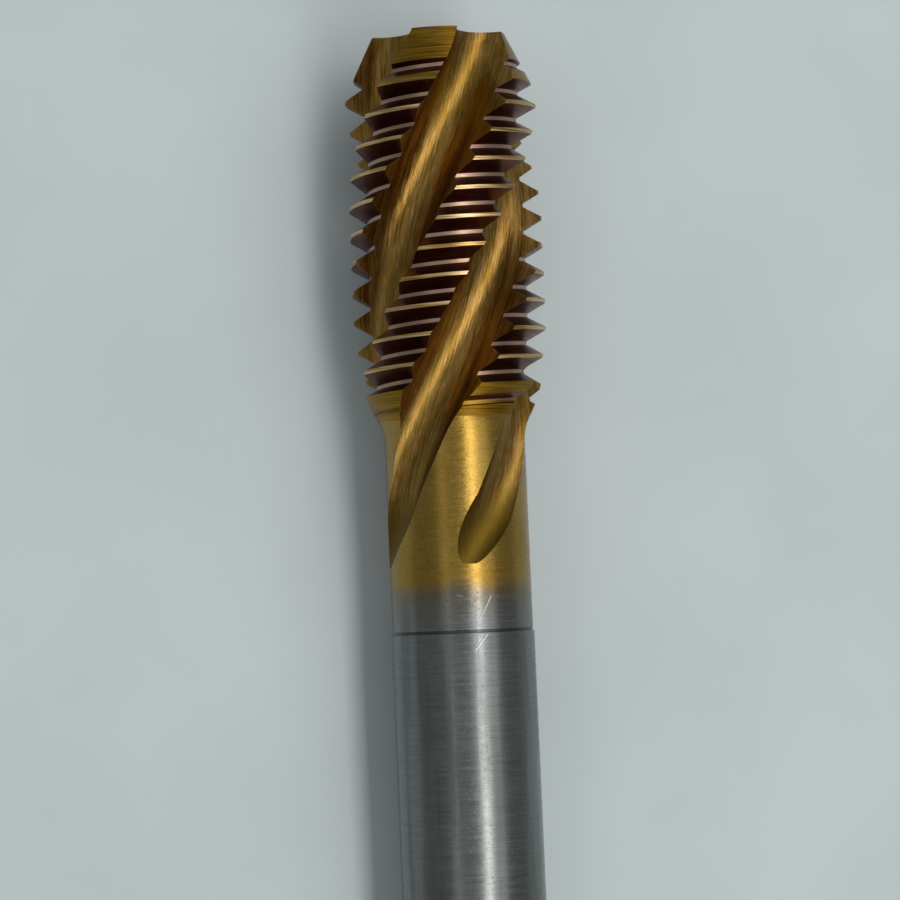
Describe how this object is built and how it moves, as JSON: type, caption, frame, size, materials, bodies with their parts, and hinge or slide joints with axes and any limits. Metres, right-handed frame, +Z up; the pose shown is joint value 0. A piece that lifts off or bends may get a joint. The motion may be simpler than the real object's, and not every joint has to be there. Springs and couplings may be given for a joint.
{
  "type": "thread tap",
  "caption": "Spiral-flute machine tap for metric coarse threads, with a gold-coated cutting end, plain steel shank and square drive.",
  "frame": {"origin": "centre of the tap's outline, on the surface that it lies on", "axes": "+Y towards the cutting end, along the length of the tap as it lies; +Z up; +X to the right when looking from the drive square to the tip"},
  "size_m": [0.012, 0.0892, 0.0122],
  "materials": {
    "tap_steel": "ground"
  },
  "bodies": {
    "root": {"thread_tap": "tap_steel"}
  },
  "joints": []
}
